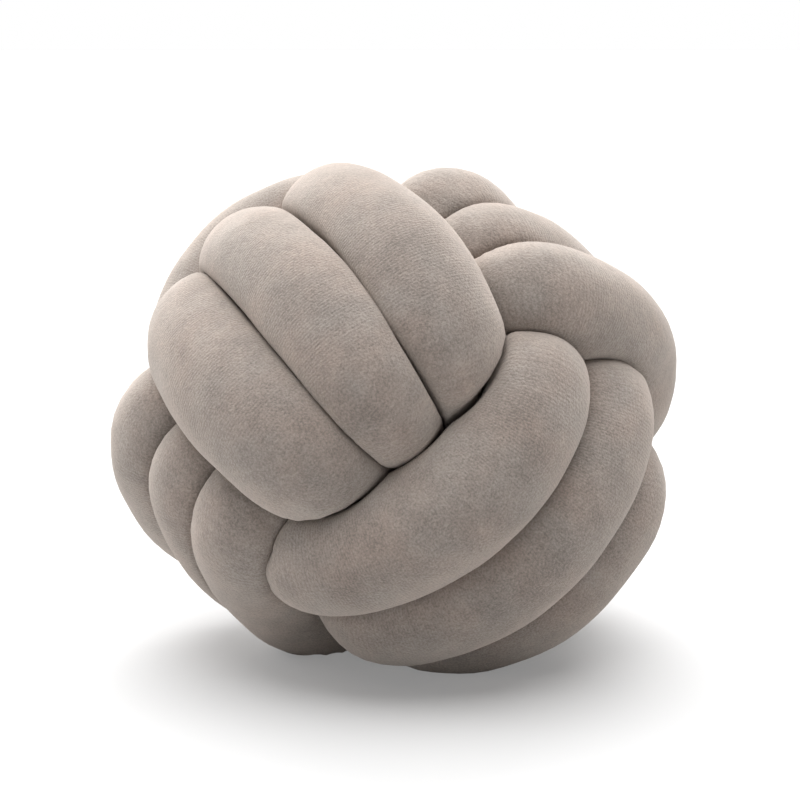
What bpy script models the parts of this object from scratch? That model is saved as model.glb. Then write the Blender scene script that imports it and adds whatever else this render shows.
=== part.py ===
"""Knot cushion: one long stuffed velvet tube, wound as a monkey's fist.

The tube is wound in three bands at right angles. Each band is three turns lying side by side, so each of
the six faces of the ball shows three plump strands, which dive under the strands of the next faces. After
its third turn a band hands the tube on to the next band through the hidden inner layer. The two ends are
sewn together there, so the tube is one closed loop and the cushion is one solid.

A section of the tube is a circle, pressed flat where it meets another strand or the floor. The cushion
stands on the floor plane z = 0, with its front towards -Y. Lengths in the tables are tube diameters.
"""

import math
from typing import NamedTuple

import bpy
import numpy as np
from mathutils import Euler

# Driving dimensions
TUBE_DIAMETER = 0.0615
STRAND_GAP = 0.0025
TILT_DEGREES = (-36.5, -38.0, -122.0)
SETTLE = 0.95
FLOOR_DEPTH = 2.00
LEAST_RADIUS = 0.05
BEND_SHARE = 0.85

# Mesh density
PATH_POINTS = 1600
PATH_ROUNDING_PASSES = 12
SECTIONS = 440
SIDES = 11
BEND_DETAIL = 0.5
OWN_REACH = 0.5
OWN_STEP = 0.05
SEARCH_REACH = 1.4
TINY = 1e-6

FRONT = 1
BACK = -1
PLACES = (-1, 0, 1)
BANDS = ("X", "Y", "Z")
HALF_TURN = 180.0
LINK_TRIM = 25.0
TURN_STEP = 1.5
END_PULL = 0.3


class Station(NamedTuple):
    """One place along a turn, measured from the middle of a face of the ball."""

    angle: float    # degrees along the turn
    height: float   # from the ball's centre to the middle of the tube
    spread: float   # degrees between neighbouring turns
    radius: float   # of the tube where nothing presses it


MIDDLE = Station(angle=0.0, height=1.89, spread=25.0, radius=0.50)
CHEEK = Station(angle=17.5, height=1.875, spread=24.0, radius=0.50)
SHOULDER = Station(angle=35.0, height=1.83, spread=22.0, radius=0.49)
NECK = Station(angle=41.0, height=1.25, spread=19.0, radius=0.40)
CROSSING = Station(angle=90.0, height=0.84, spread=24.0, radius=0.45)
LINK_RADIUS = 0.50


class Strand(NamedTuple):
    """How one strand differs from an even winding. Its start is the end at lower turn angle."""

    rise: tuple     # outwards at start, middle and end
    lean: tuple     # degrees sideways at start, middle and end
    reach: tuple    # degrees longer at start and end
    plump: float    # added to the radius


EVEN = Strand((0.0, 0.0, 0.0), (0.0, 0.0, 0.0), (0.0, 0.0), 0.0)

# A row for each strand that is laid unevenly: band, face and place, then the Strand.
UNEVEN_STRANDS = {
    ("X", FRONT, -1): Strand((-0.06, 0.00, 0.00), (0, 0, 0), (-4, 0), 0.05),
    ("X", FRONT, 0): Strand((0.00, 0.00, 0.00), (-2, 3, 0), (2, 0), 0.00),
    ("X", FRONT, 1): Strand((0.00, 0.00, 0.00), (0, 0, -2), (0, 0), 0.03),
    ("X", BACK, 1): Strand((0.20, 0.26, 0.20), (0, 0, 0), (0, 0), 0.00),
    ("X", BACK, 0): Strand((0.10, 0.15, 0.10), (0, 0, 0), (0, 0), 0.00),
    ("Y", FRONT, 1): Strand((0.00, 0.00, 0.00), (0, 0, 6), (12, 3), 0.00),
    ("Y", FRONT, 0): Strand((0.03, 0.02, 0.02), (0, -1, 4), (4, 11), 0.00),
    ("Y", FRONT, -1): Strand((-0.06, 0.02, 0.08), (0, 0, 0), (0, 0), 0.02),
    ("Y", BACK, 1): Strand((-0.08, 0.12, 0.00), (0, 0, 0), (0, 0), 0.00),
    ("Z", FRONT, 1): Strand((-0.06, 0.06, 0.06), (0, 0, 0), (0, 0), 0.00),
    ("Z", FRONT, 0): Strand((-0.10, -0.20, -0.15), (0, 0, 0), (0, 0), 0.00),
    ("Z", FRONT, -1): Strand((-0.15, -0.25, -0.03), (0, 0, 0), (0, 0), 0.00),
    ("Z", BACK, 1): Strand((0.00, -0.18, 0.05), (0, -6, -9), (0, 0), 0.03),
    ("Z", BACK, 0): Strand((0.00, -0.14, -0.20), (0, 6, 0), (0, 0), 0.00),
    ("Z", BACK, -1): Strand((0.10, 0.04, -0.20), (0, 6, 0), (0, 0), 0.04),
}

# The way from one band to the next, in the first band's own axes: out of the face, along, across.
LINK_POINTS = (
    (0.18, 0.72, 0.50),
    (-0.05, 0.45, 0.52),
    (-0.25, 0.15, 0.55),
    (-0.38, -0.08, 0.68),
)


def between(first, second, share):
    """A value that lies the given share of the way from first to second."""
    return first + (second - first) * share


def strand_rows(band, face, place, centre):
    """Rows of turn angle, height, sideways angle and radius along one strand of a face."""
    strand = UNEVEN_STRANDS.get((band, face, place), EVEN)
    rows = []
    for end, direction in ((0, -1), (1, 1)):
        rise = strand.rise[2 * end]
        lean = strand.lean[2 * end]
        longer = direction * strand.reach[end]
        ends = [
            (centre + direction * NECK.angle + longer, NECK.height,
             place * NECK.spread + lean / 2, NECK.radius),
            (centre + direction * SHOULDER.angle + longer, SHOULDER.height + rise,
             place * SHOULDER.spread + lean, SHOULDER.radius + strand.plump),
            (centre + direction * CHEEK.angle, CHEEK.height + between(strand.rise[1], rise, END_PULL),
             place * CHEEK.spread + between(strand.lean[1], lean, END_PULL), CHEEK.radius + strand.plump),
        ]
        rows += ends
    rows.append((centre, MIDDLE.height + strand.rise[1],
                 place * MIDDLE.spread + strand.lean[1], MIDDLE.radius + strand.plump))
    return sorted(rows)


def band_rows(band):
    """Rows along all three turns of a band, which step sideways where they cross under a face."""
    rows = []
    for turn, place in enumerate(PLACES):
        front_centre = 2 * HALF_TURN * turn
        step_back = 0.5 if turn > 0 else 0.0
        rows.append((front_centre - 1.5 * HALF_TURN, CROSSING.height,
                     (place - step_back) * CROSSING.spread, CROSSING.radius))
        rows += strand_rows(band, BACK, place, front_centre - HALF_TURN)
        rows.append((front_centre - 0.5 * HALF_TURN, CROSSING.height,
                     place * CROSSING.spread, CROSSING.radius))
        rows += strand_rows(band, FRONT, place, front_centre)
    last = 2 * HALF_TURN * len(PLACES) - 1.5 * HALF_TURN
    rows.append((last, CROSSING.height, PLACES[-1] * CROSSING.spread, CROSSING.radius))
    return np.array(rows)


def band_path(band):
    """Points and radii along a band and its link, in the ball's own axes."""
    rows = band_rows(band)
    turn = np.arange(rows[0, 0] + LINK_TRIM, rows[-1, 0] - LINK_TRIM + 1.0, TURN_STEP)
    height, side, radius = (np.interp(turn, rows[:, 0], rows[:, column]) for column in (1, 2, 3))
    turn = np.radians(turn)
    side = np.radians(side)
    out = height * np.cos(side) * np.cos(turn)
    along = height * np.cos(side) * np.sin(turn)
    across = height * np.sin(side)
    points = np.vstack([np.column_stack([out, along, across]), LINK_POINTS])
    radius = np.concatenate([radius, np.full(len(LINK_POINTS), LINK_RADIUS)])
    return np.roll(points, BANDS.index(band), axis=1), radius


def resample(path, weight, count):
    """The closed path again, with its points evenly spaced by length times weight."""
    closed = np.vstack([path, path[:1]])
    steps = np.linalg.norm(np.diff(closed[:, :3], axis=0), axis=1)
    weight = np.append(weight, weight[0])
    reached = np.concatenate([[0.0], np.cumsum(steps * (weight[:-1] + weight[1:]) / 2)])
    wanted = np.linspace(0.0, reached[-1], count, endpoint=False)
    return np.column_stack([np.interp(wanted, reached, column) for column in closed.T])


def rounded(path, passes):
    """The closed path with its corners rounded by averaging neighbours."""
    for _ in range(passes):
        path = (np.roll(path, 1, axis=0) + 2 * path + np.roll(path, -1, axis=0)) / 4
    return path


def tube_path():
    """Rows of x, y, z and radius along the whole tube, standing on the floor."""
    pieces = [band_path(band) for band in BANDS]
    path = np.vstack([np.column_stack([points, radius]) for points, radius in pieces])
    path = resample(path, np.ones(len(path)), PATH_POINTS)
    path = rounded(path, PATH_ROUNDING_PASSES)
    tilt = np.array(Euler([math.radians(angle) for angle in TILT_DEGREES]).to_matrix())
    path[:, :3] = path[:, :3] @ tilt.T
    path[:, 2] = path[:, 2] * SETTLE + FLOOR_DEPTH
    return path


def length_along(points):
    """Length from the first point to each point of a closed path, and the whole length."""
    steps = np.linalg.norm(np.roll(points, -1, axis=0) - points, axis=1)
    return np.concatenate([[0.0], np.cumsum(steps)[:-1]]), steps.sum()


def headings(points):
    """The unit direction of travel at each point of a closed path."""
    across = np.roll(points, -1, axis=0) - np.roll(points, 1, axis=0)
    return across / np.linalg.norm(across, axis=1, keepdims=True)


def bending(points):
    """How sharply a closed path bends at each point: one over the radius of the bend."""
    step = np.linalg.norm(np.roll(points, -1, axis=0) - np.roll(points, 1, axis=0), axis=1) / 2
    heading = headings(points)
    change = np.roll(heading, -1, axis=0) - np.roll(heading, 1, axis=0)
    return np.linalg.norm(change, axis=1) / (2 * step)


def section_axes(points):
    """Two unit vectors across the tube at each point, turning no more than the path does."""
    tangents = headings(points)
    first = np.cross(tangents[0], (0.0, 0.0, 1.0))
    first /= np.linalg.norm(first)
    axes = []
    for tangent in tangents:
        first = first - tangent * (first @ tangent)
        first = first / np.linalg.norm(first)
        axes.append(first)
    axes = np.array(axes)
    carried = axes[-1] - tangents[0] * (axes[-1] @ tangents[0])
    other = np.cross(tangents[0], axes[0])
    twist = math.atan2(carried @ other, carried @ axes[0])
    turn = -twist * np.arange(len(points))[:, None] / len(points)
    across = np.cross(tangents, axes)
    return axes * np.cos(turn) + across * np.sin(turn), across * np.cos(turn) - axes * np.sin(turn)


def pressed_distance(path, sections, directions, own_length):
    """How far each section reaches in each direction before a strand, a bend or the floor stops it."""
    points = path[:, :3]
    heading = headings(points)
    strand_length, total = length_along(points)
    gap = STRAND_GAP / TUBE_DIAMETER
    reach = np.repeat(sections[:, 3:4], directions.shape[1], axis=1)
    for index, (centre, radius) in enumerate(zip(sections[:, :3], sections[:, 3])):
        ahead = (strand_length - own_length[index] + total / 2) % total - total / 2
        offset = points - centre
        squared = (offset ** 2).sum(axis=1)
        other = (np.abs(ahead) > OWN_REACH) & (squared < SEARCH_REACH ** 2)
        facing = directions[index] @ offset[other].T
        shared = squared[other] + radius ** 2 - path[other, 3] ** 2
        pressed = least_positive(shared / 2, facing) - gap / 2
        bend = (np.abs(ahead) < OWN_REACH) & (np.abs(ahead) > OWN_STEP)
        forward = heading[bend] * np.sign(ahead[bend])[:, None]
        room = (offset[bend] * forward).sum(axis=1)
        folded = BEND_SHARE * least_positive(room, directions[index] @ forward.T)
        reach[index] = np.minimum(reach[index], np.minimum(pressed, folded))
    reach = np.maximum(reach, LEAST_RADIUS)
    down = -directions[:, :, 2]
    floor = np.where(down > TINY, sections[:, 2:3] / np.maximum(down, TINY), np.inf)
    return np.minimum(reach, floor)


def least_positive(lengths, facing):
    """The least of lengths / facing along the last axis, over the entries that face forwards."""
    return np.where(facing > TINY, lengths / np.maximum(facing, TINY), np.inf).min(axis=-1)


def tube_points():
    """Corners of the tube's surface: sections along the tube by sides round it."""
    path = tube_path()
    density = 1.0 + BEND_DETAIL * bending(path[:, :3])
    strand_length, _ = length_along(path[:, :3])
    with_length = np.column_stack([path, strand_length])
    sections = resample(with_length, density, SECTIONS)
    first, second = section_axes(sections[:, :3])
    angles = 2 * math.pi * np.arange(SIDES) / SIDES
    directions = (first[:, None, :] * np.cos(angles)[None, :, None]
                  + second[:, None, :] * np.sin(angles)[None, :, None])
    reach = pressed_distance(path, sections[:, :4], directions, sections[:, 4])
    corners = sections[:, None, :3] + directions * reach[:, :, None]
    return corners * TUBE_DIAMETER


def clear_scene():
    """Remove whatever the file opened with."""
    for scene_object in list(bpy.data.objects):
        bpy.data.objects.remove(scene_object, do_unlink=True)


def velvet_material():
    """Short plush velvet in a warm stone colour."""
    material = bpy.data.materials.new("plush_velvet")
    material.use_nodes = True
    shader = material.node_tree.nodes["Principled BSDF"]
    shader.inputs["Base Color"].default_value = (0.36, 0.31, 0.27, 1.0)
    shader.inputs["Roughness"].default_value = 0.9
    shader.inputs["Metallic"].default_value = 0.0
    return material


def standing_centred(corners):
    """The corners moved so that the middle of their footprint is the origin."""
    flat = corners.reshape(-1, 3)
    middle = (flat.min(axis=0) + flat.max(axis=0)) / 2
    middle[2] = flat[:, 2].min()
    return corners - middle


def knotted_tube(collection):
    """The stuffed tube: one loft through its sections, closed end to end."""
    corners = standing_centred(tube_points())
    sections, sides, _ = corners.shape
    faces = []
    for section in range(sections):
        following = (section + 1) % sections
        for side in range(sides):
            beside = (side + 1) % sides
            faces.append((section * sides + side, section * sides + beside,
                          following * sides + beside, following * sides + side))
    mesh = bpy.data.meshes.new("knotted_tube")
    mesh.from_pydata(corners.reshape(-1, 3).tolist(), [], faces)
    mesh.materials.append(velvet_material())
    mesh.shade_smooth()
    tube = bpy.data.objects.new("knotted_tube", mesh)
    collection.objects.link(tube)
    return tube


def main():
    """Build the knot cushion in a collection of its own."""
    clear_scene()
    collection = bpy.data.collections.new("knot_cushion")
    bpy.context.scene.collection.children.link(collection)
    knotted_tube(collection)


main()
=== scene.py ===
"""Knot cushion: one long stuffed velvet tube, wound as a monkey's fist.

The tube is wound in three bands at right angles, three turns to a band. Each of the six faces of the ball
shows three plump strands, which dive under the strands of the next faces. The tube is one closed loop.

Lengths in the winding tables are tube diameters. The finished tube is in metres and stands on z = 0, with
its front towards -Y.
"""

import logging
import math
from dataclasses import dataclass, field
from enum import Enum
from typing import NamedTuple

import bpy
import numpy as np
from mathutils import Euler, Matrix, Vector, noise


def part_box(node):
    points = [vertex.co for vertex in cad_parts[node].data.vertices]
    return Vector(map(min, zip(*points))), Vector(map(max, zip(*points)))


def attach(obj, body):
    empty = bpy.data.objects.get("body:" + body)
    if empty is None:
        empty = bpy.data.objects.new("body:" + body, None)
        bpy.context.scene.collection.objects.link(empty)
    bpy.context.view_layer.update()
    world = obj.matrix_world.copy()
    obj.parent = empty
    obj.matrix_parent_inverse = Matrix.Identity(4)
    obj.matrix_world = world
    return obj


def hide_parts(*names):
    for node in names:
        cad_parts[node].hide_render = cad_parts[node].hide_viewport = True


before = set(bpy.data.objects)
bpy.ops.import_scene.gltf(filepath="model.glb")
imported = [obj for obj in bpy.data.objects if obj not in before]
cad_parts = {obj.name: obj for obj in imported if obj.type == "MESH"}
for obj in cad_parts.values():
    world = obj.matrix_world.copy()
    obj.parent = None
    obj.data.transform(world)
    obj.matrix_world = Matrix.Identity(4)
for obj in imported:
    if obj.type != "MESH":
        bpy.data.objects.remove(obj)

TUBE_NODE = "knotted_tube"
BODY = "root"
TINY = 1e-6

log = logging.getLogger("knot_cushion")
Array = np.ndarray


class Band(Enum):
    """A band of three turns, named for the axis that comes out of its faces."""

    X = 0
    Y = 1
    Z = 2


class Side(Enum):
    """Which of a band's two faces a strand lies on."""

    FRONT = 1
    BACK = -1


class Station(NamedTuple):
    """One place along a turn, measured from the middle of a face of the ball."""

    angle: float    # degrees along the turn
    height: float   # from the ball's centre to the middle of the tube
    spread: float   # degrees between neighbouring turns
    radius: float   # of the tube where nothing presses it


class Strand(NamedTuple):
    """How one strand differs from an even winding. Its start is the end at lower turn angle."""

    rise: tuple = (0.0, 0.0, 0.0)   # outwards at start, middle and end
    lean: tuple = (0.0, 0.0, 0.0)   # degrees sideways at start, middle and end
    reach: tuple = (0.0, 0.0)       # degrees longer at start and end
    plump: float = 0.0              # added to the radius


def uneven_strands() -> dict:
    """The strands that are laid unevenly, by band, face and place across the band."""
    return {
        (Band.X, Side.FRONT, -1): Strand(rise=(-0.06, 0.00, 0.00), reach=(-4, 0), plump=0.05),
        (Band.X, Side.FRONT, 0): Strand(lean=(-2, 3, 0), reach=(5, 0)),
        (Band.X, Side.FRONT, 1): Strand(lean=(0, 0, -2), plump=0.03),
        (Band.X, Side.BACK, 1): Strand(rise=(0.20, 0.26, 0.20)),
        (Band.X, Side.BACK, 0): Strand(rise=(0.10, 0.15, 0.10)),
        (Band.Y, Side.FRONT, 1): Strand(lean=(0, 0, 6), reach=(12, 3)),
        (Band.Y, Side.FRONT, 0): Strand(rise=(0.03, 0.02, 0.02), lean=(0, -1, 4), reach=(4, 11)),
        (Band.Y, Side.FRONT, -1): Strand(rise=(-0.06, 0.02, 0.08), plump=0.02),
        (Band.Y, Side.BACK, 1): Strand(rise=(-0.08, 0.12, 0.00)),
        (Band.Z, Side.FRONT, 1): Strand(rise=(-0.06, 0.06, 0.06)),
        (Band.Z, Side.FRONT, 0): Strand(rise=(-0.10, -0.20, -0.15)),
        (Band.Z, Side.FRONT, -1): Strand(rise=(-0.15, -0.25, -0.03)),
        (Band.Z, Side.BACK, 1): Strand(rise=(0.00, -0.18, 0.05), lean=(0, -6, -9), plump=0.03),
        (Band.Z, Side.BACK, 0): Strand(rise=(0.00, -0.14, -0.20), lean=(0, 6, 0)),
        (Band.Z, Side.BACK, -1): Strand(rise=(0.10, 0.04, -0.20), lean=(0, 6, 0), plump=0.04),
    }


def between(first: float, second: float, share: float) -> float:
    """A value that lies the given share of the way from first to second."""
    return first + (second - first) * share


@dataclass
class ClosedPath:
    """A closed line of points with a radius at each, in tube diameters."""

    rows: Array

    @property
    def points(self) -> Array:
        """The points alone."""
        return self.rows[:, :3]

    @property
    def radii(self) -> Array:
        """The radius at each point."""
        return self.rows[:, 3]

    def steps(self) -> Array:
        """The length from each point to the next."""
        return np.linalg.norm(np.roll(self.points, -1, axis=0) - self.points, axis=1)

    def reached(self) -> Array:
        """The length from the first point to each point."""
        return np.concatenate([[0.0], np.cumsum(self.steps())[:-1]])

    def headings(self) -> Array:
        """The unit direction of travel at each point."""
        across = np.roll(self.points, -1, axis=0) - np.roll(self.points, 1, axis=0)
        return across / np.linalg.norm(across, axis=1, keepdims=True)

    def bending(self) -> Array:
        """How sharply the path bends at each point: one over the radius of the bend."""
        heading = self.headings()
        change = np.roll(heading, -1, axis=0) - np.roll(heading, 1, axis=0)
        return np.linalg.norm(change, axis=1) / (self.steps() + np.roll(self.steps(), 1))

    def resampled(self, count: int, weight: Array) -> "ClosedPath":
        """The path with its points evenly spaced by length times weight.

        Args:
            count: how many points the new path has.
            weight: how dense the new points are at each old one.

        Returns:
            The new path, with any further columns carried along.
        """
        closed = np.vstack([self.rows, self.rows[:1]])
        weight = np.append(weight, weight[0])
        grown = np.cumsum(self.steps() * (weight[:-1] + weight[1:]) / 2)
        grown = np.concatenate([[0.0], grown])
        wanted = np.linspace(0.0, grown[-1], count, endpoint=False)
        return ClosedPath(np.column_stack([np.interp(wanted, grown, column) for column in closed.T]))

    def rounded(self, passes: int) -> "ClosedPath":
        """The path with its corners rounded by averaging neighbours, the given number of times."""
        rows = self.rows
        for _ in range(passes):
            rows = (np.roll(rows, 1, axis=0) + 2 * rows + np.roll(rows, -1, axis=0)) / 4
        return ClosedPath(rows)

    def section_axes(self) -> tuple:
        """Two unit vectors across the tube at each point, turning no more than the path does.

        Returns:
            The first and the second axis, a row for each point.
        """
        tangents = self.headings()
        first = np.cross(tangents[0], (0.0, 0.0, 1.0))
        first /= np.linalg.norm(first)
        axes = []
        for tangent in tangents:
            first = first - tangent * (first @ tangent)
            first = first / np.linalg.norm(first)
            axes.append(first)
        axes = np.array(axes)
        carried = axes[-1] - tangents[0] * (axes[-1] @ tangents[0])
        other = np.cross(tangents[0], axes[0])
        twist = math.atan2(carried @ other, carried @ axes[0])
        turn = -twist * np.arange(len(axes))[:, None] / len(axes)
        across = np.cross(tangents, axes)
        return (axes * np.cos(turn) + across * np.sin(turn),
                across * np.cos(turn) - axes * np.sin(turn))


@dataclass
class Winding:
    """The way the tube takes through the ball."""

    middle: Station = Station(angle=0.0, height=1.89, spread=25.0, radius=0.50)
    cheek: Station = Station(angle=17.5, height=1.875, spread=24.0, radius=0.50)
    shoulder: Station = Station(angle=35.0, height=1.83, spread=22.0, radius=0.49)
    neck: Station = Station(angle=41.0, height=1.25, spread=19.0, radius=0.48)
    crossing: Station = Station(angle=90.0, height=0.84, spread=24.0, radius=0.45)
    strands: dict = field(default_factory=uneven_strands)
    places: tuple = (-1, 0, 1)
    half_turn: float = 180.0
    turn_step: float = 1.5
    end_pull: float = 0.3
    # The way from one band to the next, in the first band's own axes: out of the face, along, across.
    link: tuple = ((0.18, 0.72, 0.50), (-0.05, 0.45, 0.52), (-0.25, 0.15, 0.55), (-0.38, -0.08, 0.68))
    link_radius: float = 0.50
    link_trim: float = 25.0
    tilt: tuple = (-36.5, -38.0, -122.0)
    settle: float = 0.95
    lift: float = 2.00
    points: int = 1600
    rounding: int = 12

    def strand_rows(self, band: Band, side: Side, place: int, centre: float) -> list:
        """The stations along one strand of a face.

        Args:
            band: the band that the strand belongs to.
            side: the face it lies on.
            place: -1, 0 or 1 across the band.
            centre: the turn angle at the middle of the face.

        Returns:
            Rows of turn angle, height, sideways angle and radius, in order along the strand.
        """
        strand = self.strands.get((band, side, place), Strand())
        rows = [(centre, self.middle.height + strand.rise[1],
                 place * self.middle.spread + strand.lean[1], self.middle.radius + strand.plump)]
        for end, direction in ((0, -1), (1, 1)):
            rise = strand.rise[2 * end]
            lean = strand.lean[2 * end]
            longer = direction * strand.reach[end]
            rows.append((centre + direction * self.neck.angle + longer, self.neck.height,
                         place * self.neck.spread + lean / 2, self.neck.radius))
            rows.append((centre + direction * self.shoulder.angle + longer, self.shoulder.height + rise,
                         place * self.shoulder.spread + lean, self.shoulder.radius + strand.plump))
            rows.append((centre + direction * self.cheek.angle,
                         self.cheek.height + between(strand.rise[1], rise, self.end_pull),
                         place * self.cheek.spread + between(strand.lean[1], lean, self.end_pull),
                         self.cheek.radius + strand.plump))
        return sorted(rows)

    def band_rows(self, band: Band) -> Array:
        """Rows along all three turns of a band, which step sideways where they cross under a face."""
        quarter = self.half_turn / 2
        rows = []
        for turn, place in enumerate(self.places):
            front = 2 * self.half_turn * turn
            step_back = 0.5 if turn > 0 else 0.0
            rows.append((front - 3 * quarter, self.crossing.height,
                         (place - step_back) * self.crossing.spread, self.crossing.radius))
            rows += self.strand_rows(band, Side.BACK, place, front - self.half_turn)
            rows.append((front - quarter, self.crossing.height,
                         place * self.crossing.spread, self.crossing.radius))
            rows += self.strand_rows(band, Side.FRONT, place, front)
        last = 2 * self.half_turn * len(self.places) - 3 * quarter
        rows.append((last, self.crossing.height, self.places[-1] * self.crossing.spread,
                     self.crossing.radius))
        return np.array(rows)

    def band_path(self, band: Band) -> Array:
        """Rows of x, y, z and radius along a band and its link, in the ball's own axes."""
        rows = self.band_rows(band)
        turn = np.arange(rows[0, 0] + self.link_trim, rows[-1, 0] - self.link_trim + 1.0, self.turn_step)
        height, aside, radius = (np.interp(turn, rows[:, 0], rows[:, column]) for column in (1, 2, 3))
        turn = np.radians(turn)
        aside = np.radians(aside)
        out = height * np.cos(aside) * np.cos(turn)
        along = height * np.cos(aside) * np.sin(turn)
        across = height * np.sin(aside)
        points = np.vstack([np.column_stack([out, along, across]), self.link])
        radius = np.concatenate([radius, np.full(len(self.link), self.link_radius)])
        return np.column_stack([np.roll(points, band.value, axis=1), radius])

    def path(self) -> ClosedPath:
        """The whole tube's path, tilted, settled and standing on the floor."""
        path = ClosedPath(np.vstack([self.band_path(band) for band in Band]))
        path = path.resampled(self.points, np.ones(len(path.rows))).rounded(self.rounding)
        tilt = np.array(Euler([math.radians(angle) for angle in self.tilt]).to_matrix())
        path.rows[:, :3] = path.points @ tilt.T
        path.rows[:, 2] = path.rows[:, 2] * self.settle + self.lift
        return path


def soft_least(first: Array, second: Array, blend: float) -> Array:
    """The lesser of two lengths, with the corner between them rounded over the blend length."""
    near = np.maximum(blend - np.abs(first - second), 0.0) / blend
    return np.minimum(first, second) - near * near * blend / 4


def least_positive(lengths: Array, facing: Array) -> Array:
    """The least of lengths / facing along the last axis, over the entries that face forwards."""
    return np.where(facing > TINY, lengths / np.maximum(facing, TINY), np.inf).min(axis=-1)


@dataclass
class Ripple:
    """One scale of gentle unevenness in the stuffing, in metres."""

    height: float
    spacing: float
    shift: float

    def at(self, place: Vector) -> float:
        """How far the surface stands proud at a place."""
        return self.height * noise.noise(place / self.spacing + Vector((self.shift, 0.0, 0.0)))


@dataclass
class StuffedTube:
    """The stuffed velvet tube: a round section, pressed where it meets a strand or the floor."""

    diameter: float = 0.0615
    gap: float = 0.0004
    least_radius: float = 0.05
    bend_share: float = 0.85
    own_reach: float = 0.5
    own_step: float = 0.05
    search_reach: float = 1.4
    bend_detail: float = 0.5
    sections: int = 1300
    sides: int = 64
    crease_rounding: float = 0.07
    pile: float = 0.02
    ripples: tuple = (Ripple(0.0016, 0.060, 3.7), Ripple(0.0007, 0.022, 11.3))
    winding: Winding = field(default_factory=Winding)

    def pressed(self, path: ClosedPath, sections: ClosedPath, directions: Array) -> Array:
        """How far each section reaches in each direction.

        Args:
            path: the fine path of the whole tube.
            sections: the path at the sections, with the length reached as a fifth column.
            directions: unit vectors round each section.

        Returns:
            A row for each section: the reach before a strand, a bend or the floor stops it.
        """
        heading = path.headings()
        reached = path.reached()
        total = path.steps().sum()
        gap = self.gap / self.diameter
        reach = np.repeat(sections.radii[:, None] + self.pile, directions.shape[1], axis=1)
        for index, (centre, radius) in enumerate(zip(sections.points, sections.radii)):
            ahead = (reached - sections.rows[index, 4] + total / 2) % total - total / 2
            offset = path.points - centre
            squared = (offset ** 2).sum(axis=1)
            other = (np.abs(ahead) > self.own_reach) & (squared < self.search_reach ** 2)
            facing = directions[index] @ offset[other].T
            shared = squared[other] + radius ** 2 - path.radii[other] ** 2
            pressed = least_positive(shared / 2, facing) - gap / 2
            bend = (np.abs(ahead) < self.own_reach) & (np.abs(ahead) > self.own_step)
            forward = heading[bend] * np.sign(ahead[bend])[:, None]
            room = (offset[bend] * forward).sum(axis=1)
            folded = self.bend_share * least_positive(room, directions[index] @ forward.T)
            stopped = np.minimum(pressed, folded)
            reach[index] = soft_least(reach[index], stopped, self.crease_rounding)
        reach = np.maximum(reach, self.least_radius)
        down = -directions[:, :, 2]
        floor = np.where(down > TINY, sections.rows[:, 2:3] / np.maximum(down, TINY), np.inf)
        return np.minimum(reach, floor)

    def corners(self) -> tuple:
        """The corners of the tube's surface and where each lies along the tube.

        Returns:
            Corners in metres, by section and by side, and the length along the tube at each section.
        """
        path = self.winding.path()
        density = 1.0 + self.bend_detail * path.bending()
        with_length = ClosedPath(np.column_stack([path.rows, path.reached()]))
        sections = with_length.resampled(self.sections, density)
        first, second = sections.section_axes()
        angles = 2 * math.pi * np.arange(self.sides) / self.sides
        directions = (first[:, None, :] * np.cos(angles)[None, :, None]
                      + second[:, None, :] * np.sin(angles)[None, :, None])
        reach = self.pressed(path, sections, directions)
        corners = sections.points[:, None, :] + directions * reach[:, :, None]
        return corners * self.diameter, sections.rows[:, 4] * self.diameter

    def placed(self, corners: Array) -> Array:
        """The corners moved so that the footprint's middle is over that of the CAD node."""
        low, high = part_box(TUBE_NODE)
        flat = corners.reshape(-1, 3)
        wanted = np.array([(low.x + high.x) / 2, (low.y + high.y) / 2, low.z])
        middle = (flat.min(axis=0) + flat.max(axis=0)) / 2
        middle[2] = flat[:, 2].min()
        return corners - middle + wanted

    def build(self) -> bpy.types.Object:
        """Loft the tube through its sections, closed end to end.

        Returns:
            The tube as an object at the origin.
        """
        corners, reached = self.corners()
        corners = self.placed(corners)
        count, sides, _ = corners.shape
        section, side = (grid.ravel() for grid in np.meshgrid(np.arange(count), np.arange(sides),
                                                             indexing="ij"))
        following = (section + 1) % count
        beside = (side + 1) % sides
        faces = np.column_stack([section * sides + side, section * sides + beside,
                                 following * sides + beside, following * sides + side])
        mesh = bpy.data.meshes.new("velvet_tube")
        mesh.from_pydata(corners.reshape(-1, 3).tolist(), [], faces.tolist())
        self.map_cloth(mesh, reached, section, side)
        mesh.shade_smooth()
        self.uneven(mesh)
        tube = bpy.data.objects.new("velvet_tube", mesh)
        bpy.context.scene.collection.objects.link(tube)
        return tube

    def map_cloth(self, mesh: bpy.types.Mesh, reached: Array, section: Array, side: Array) -> None:
        """Lay the cloth's own map on the tube, in metres along it and round it.

        Args:
            mesh: the tube's mesh, one face for each section and side.
            reached: the length along the tube at each section.
            section: the section that each face starts at.
            side: the side that each face starts at.
        """
        whole = 2 * reached[-1] - reached[-2]
        lengths = np.append(reached, whole)
        girth = math.pi * self.diameter
        along = np.column_stack([lengths[section], lengths[section], lengths[section + 1],
                                 lengths[section + 1]])
        round_it = np.column_stack([side, side + 1, side + 1, side]) * girth / self.sides
        layer = mesh.uv_layers.new(name="cloth")
        layer.data.foreach_set("uv", np.dstack([along, round_it]).ravel())

    def uneven(self, mesh: bpy.types.Mesh) -> None:
        """Push the surface in and out a little, as uneven stuffing does, but not where it stands."""
        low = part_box(TUBE_NODE)[0].z
        fade = 0.01
        moved = []
        for corner in mesh.vertices:
            free = min((corner.co.z - low) / fade, 1.0)
            height = sum(ripple.at(corner.co) for ripple in self.ripples)
            moved.append(corner.co + corner.normal * height * free)
        mesh.vertices.foreach_set("co", np.array(moved).ravel())
        mesh.update()


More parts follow.
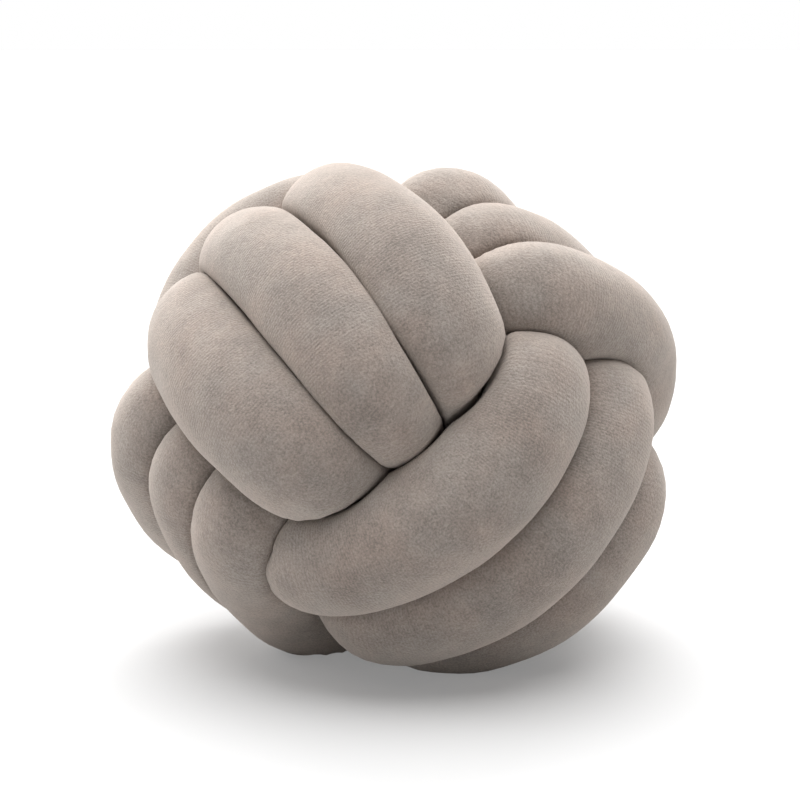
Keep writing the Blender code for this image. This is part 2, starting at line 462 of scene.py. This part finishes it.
@dataclass
class Term:
    """A socket in a shader sum: its operators add the Math nodes that they stand for."""

    bench: "Bench"
    socket: bpy.types.NodeSocket

    def math(self, operation: str, *others: object) -> "Term":
        """This value and others through one Math node."""
        return self.bench.node("ShaderNodeMath", {"operation": operation}, (self, *others))

    def __add__(self, other: object) -> "Term":
        """This value plus another."""
        return self.math("ADD", other)

    def __radd__(self, other: object) -> "Term":
        """Another value plus this one."""
        return self.math("ADD", other)

    def __sub__(self, other: object) -> "Term":
        """This value less another."""
        return self.math("SUBTRACT", other)

    def __rsub__(self, other: object) -> "Term":
        """Another value less this one."""
        return self.bench.node("ShaderNodeMath", {"operation": "SUBTRACT"}, (other, self))

    def __mul__(self, other: object) -> "Term":
        """This value times another."""
        return self.math("MULTIPLY", other)

    def __rmul__(self, other: object) -> "Term":
        """Another value times this one."""
        return self.math("MULTIPLY", other)


class Bench:
    """Where one material's nodes are laid out."""

    def __init__(self, name: str) -> None:
        """Start a material with its Principled shader."""
        self.material = bpy.data.materials.new(name)
        self.material.use_nodes = True
        self.nodes = self.material.node_tree.nodes
        self.links = self.material.node_tree.links
        self.shader = self.nodes["Principled BSDF"]

    def feed(self, socket: bpy.types.NodeSocket, value: object) -> None:
        """Link a term to a socket, or set the socket to a plain value."""
        if isinstance(value, Term):
            self.links.new(value.socket, socket)
        else:
            socket.default_value = value

    def node(self, kind: str, settings: dict, inputs: object, output: object = 0) -> Term:
        """Add one node.

        Args:
            kind: the node's type.
            settings: its own settings, set before its sockets.
            inputs: values or terms for its sockets, by name or in order.
            output: the name or number of the socket that is wanted.

        Returns:
            The wanted output.
        """
        node = self.nodes.new(kind)
        for name, value in settings.items():
            setattr(node, name, value)
        named = inputs.items() if isinstance(inputs, dict) else enumerate(inputs)
        for name, value in named:
            self.feed(node.inputs[name], value)
        return Term(self, node.outputs[output])

    def place(self) -> Term:
        """The piece's own coordinates."""
        return self.node("ShaderNodeTexCoord", {}, {}, "Object")

    def cloth(self) -> Term:
        """The piece's own cloth map, in metres."""
        return self.node("ShaderNodeUVMap", {"uv_map": "cloth"}, {}, "UV")

    def clouds(self, where: Term, spacing: float, detail: float = 2.0, roughness: float = 0.5) -> Term:
        """Soft noise from 0 to 1 whose patches are about the given spacing in metres."""
        return self.node("ShaderNodeTexNoise", {}, {"Vector": where, "Scale": 1.0 / spacing,
                                                    "Detail": detail, "Roughness": roughness}, "Fac")

    def mixed(self, share: object, first: object, second: object) -> Term:
        """A colour that lies the given share of the way from first to second."""
        return self.node("ShaderNodeMix", {"data_type": "RGBA"}, {0: share, 6: first, 7: second}, 2)

    def ramp(self, value: Term, low: float, high: float) -> Term:
        """The value stretched so that low is 0 and high is 1, and no further."""
        return self.node("ShaderNodeMapRange", {"clamp": True},
                         {"Value": value, "From Min": low, "From Max": high})


@dataclass(frozen=True)
class PlushVelvet:
    """Short plush velvet whose nap is brushed this way and that."""

    name: str = "plush_velvet"
    shade: tuple = (0.045, 0.029, 0.021, 1.0)
    light: tuple = (0.275, 0.225, 0.197, 1.0)
    warm: tuple = (1.08, 0.97, 0.91, 1.0)
    cool: tuple = (0.95, 1.00, 1.02, 1.0)
    roughness: float = 0.92
    sheen: float = 0.7
    sheen_roughness: float = 0.90
    sheen_tint: tuple = (1.0, 0.90, 0.82, 1.0)

    def material(self) -> bpy.types.Material:
        """The finish as a material."""
        bench = Bench(self.name)
        place = bench.place()
        cloth = bench.cloth()
        patches = bench.clouds(place, spacing=0.045, detail=2.0)
        brushed = bench.clouds(place, spacing=0.013, detail=4.0, roughness=0.6)
        fuzz = bench.clouds(place, spacing=0.0011, detail=1.0, roughness=0.8)
        rows = bench.node("ShaderNodeTexWave", {"wave_type": "BANDS", "bands_direction": "X"},
                          {"Vector": cloth, "Scale": 260.0, "Distortion": 2.5, "Detail": 1.0,
                           "Detail Scale": 3.0}, "Fac")
        tone = 0.34 * patches + 0.42 * brushed + 0.72 * fuzz + 0.04 * rows
        share = bench.ramp(tone, low=0.56, high=0.96)
        colour = bench.mixed(share, self.shade, self.light)
        worn = bench.clouds(place, spacing=0.030, detail=3.0)
        cast = bench.mixed(bench.ramp(worn, low=0.35, high=0.65), self.warm, self.cool)
        colour = bench.node("ShaderNodeMix", {"data_type": "RGBA", "blend_type": "MULTIPLY"},
                            {0: 1.0, 6: colour, 7: cast}, 2)
        pile = 0.5 * fuzz + 0.10 * rows + 0.9 * brushed
        bump = bench.node("ShaderNodeBump", {}, {"Strength": 0.5, "Distance": 0.0016, "Height": pile})
        shader = bench.shader
        bench.feed(shader.inputs["Base Color"], colour)
        bench.feed(shader.inputs["Normal"], bump)
        shader.inputs["Roughness"].default_value = self.roughness
        shader.inputs["Specular IOR Level"].default_value = 0.15
        shader.inputs["Sheen Weight"].default_value = self.sheen
        shader.inputs["Sheen Roughness"].default_value = self.sheen_roughness
        shader.inputs["Sheen Tint"].default_value = self.sheen_tint
        return bench.material


@dataclass(frozen=True)
class GlowingBoard:
    """White board with a faint light of its own, which keeps its shadows pale, and a dull back-glow."""

    name: str = "white_board"
    colour: tuple = (0.56, 0.56, 0.56, 1.0)
    glow: float = 0.22
    dull: tuple = (0.54, 0.54, 0.54, 1.0)
    lit: tuple = (1.0, 1.0, 1.0, 1.0)
    unlit: tuple = (0.0, 0.0, 0.0, 1.0)

    def material(self) -> bpy.types.Material:
        """The finish as a material: what lights the cushion is duller than what is seen."""
        bench = Bench(self.name)
        seen = bench.node("ShaderNodeLightPath", {}, {}, "Is Camera Ray")
        shader = bench.shader
        bench.feed(shader.inputs["Base Color"], bench.mixed(seen, self.dull, self.colour))
        bench.feed(shader.inputs["Emission Color"], bench.mixed(seen, self.unlit, self.lit))
        shader.inputs["Emission Strength"].default_value = self.glow
        shader.inputs["Roughness"].default_value = 1.0
        shader.inputs["Specular IOR Level"].default_value = 0.0
        return bench.material


@dataclass
class KnotCushion:
    """The cushion: its one stuffed tube and the velvet it is sewn from."""

    tube: StuffedTube = field(default_factory=StuffedTube)
    velvet: PlushVelvet = field(default_factory=PlushVelvet)
    fill: float = 0.9

    def build(self) -> bpy.types.Object:
        """Make the tube, dress it and tie it to the frame."""
        piece = self.tube.build()
        piece.data.materials.append(self.velvet.material())
        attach(piece, BODY)
        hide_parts(TUBE_NODE)
        return piece


@dataclass
class SoftSun:
    """An even soft light from one direction, as from a very large softbox."""

    name: str
    toward: tuple      # from the cushion to the light
    strength: float
    width: float       # degrees across, seen from the cushion

    def build(self) -> bpy.types.Object:
        """Hang the light."""
        light = bpy.data.lights.new(self.name, "SUN")
        light.energy = self.strength
        light.angle = math.radians(self.width)
        lamp = bpy.data.objects.new(self.name, light)
        lamp.location = Vector(self.toward)
        lamp.rotation_euler = Vector(self.toward).to_track_quat("Z", "Y").to_euler()
        bpy.context.scene.collection.objects.link(lamp)
        return lamp


@dataclass
class Studio:
    """White floor, even white surroundings, soft lights and the camera."""

    floor_side: float = 400.0
    surroundings: float = 0.08
    wall_glow: float = 1.0
    wall_top: float = 0.10
    lights: tuple = (
        SoftSun("overhead_light", toward=(0.00, 0.10, 1.0), strength=4.2, width=75.0),
        SoftSun("back_light", toward=(-0.05, 1.0, 0.60), strength=3.0, width=60.0),
        SoftSun("left_light", toward=(-1.0, 0.45, 0.40), strength=0.9, width=50.0),
    )
    knot_centre: tuple = (0.0034, -0.0014, 0.123)
    camera_height: float = 10.0
    camera_distance: float = 1.107
    lens: float = 94.2
    sensor: float = 36.0
    rise: float = 0.0215

    def floor(self) -> bpy.types.Object:
        """Lay the floor."""
        for chosen in list(bpy.context.selected_objects):
            chosen.select_set(False)
        bpy.ops.mesh.primitive_plane_add(size=self.floor_side)
        floor = bpy.context.object
        floor.name = "studio_floor"
        floor.data.materials.append(GlowingBoard().material())
        return floor

    def surround(self) -> None:
        """Light the scene from all round, with a white wall low down behind everything."""
        world = bpy.data.worlds.new("studio_white")
        world.use_nodes = True
        nodes = world.node_tree.nodes
        links = world.node_tree.links
        place = nodes.new("ShaderNodeTexCoord")
        split = nodes.new("ShaderNodeSeparateXYZ")
        glow = nodes.new("ShaderNodeMapRange")
        glow.inputs["From Min"].default_value = self.wall_top
        glow.inputs["From Max"].default_value = 2 * self.wall_top
        glow.inputs["To Min"].default_value = self.wall_glow
        glow.inputs["To Max"].default_value = self.surroundings
        links.new(place.outputs["Generated"], split.inputs[0])
        links.new(split.outputs["Z"], glow.inputs["Value"])
        links.new(glow.outputs["Result"], nodes["Background"].inputs["Strength"])
        nodes["Background"].inputs["Color"].default_value = (1.0, 1.0, 1.0, 1.0)
        bpy.context.scene.world = world
        bpy.context.scene.view_settings.view_transform = "Standard"

    def camera(self) -> bpy.types.Object:
        """Set up the camera in front of the cushion, looking slightly down."""
        height = math.radians(self.camera_height)
        data = bpy.data.cameras.new("camera")
        data.lens = self.lens
        data.sensor_width = self.sensor
        data.shift_y = self.rise
        camera = bpy.data.objects.new("camera", data)
        back = Vector((0.0, -math.cos(height), math.sin(height)))
        camera.location = Vector(self.knot_centre) + back * self.camera_distance
        camera.rotation_euler = (math.pi / 2 - height, 0.0, 0.0)
        bpy.context.scene.collection.objects.link(camera)
        bpy.context.scene.camera = camera
        return camera

    def build(self) -> None:
        """Set up the whole studio."""
        self.floor()
        self.surround()
        for light in self.lights:
            light.build()
        self.camera()


def main() -> None:
    """Build the cushion and its studio."""
    logging.basicConfig(level=logging.INFO, format="%(message)s")
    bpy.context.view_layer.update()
    cushion = KnotCushion().build()
    log.info("%s: %d corners", cushion.name, len(cushion.data.vertices))
    Studio().build()


if __name__ == "__main__":
    main()
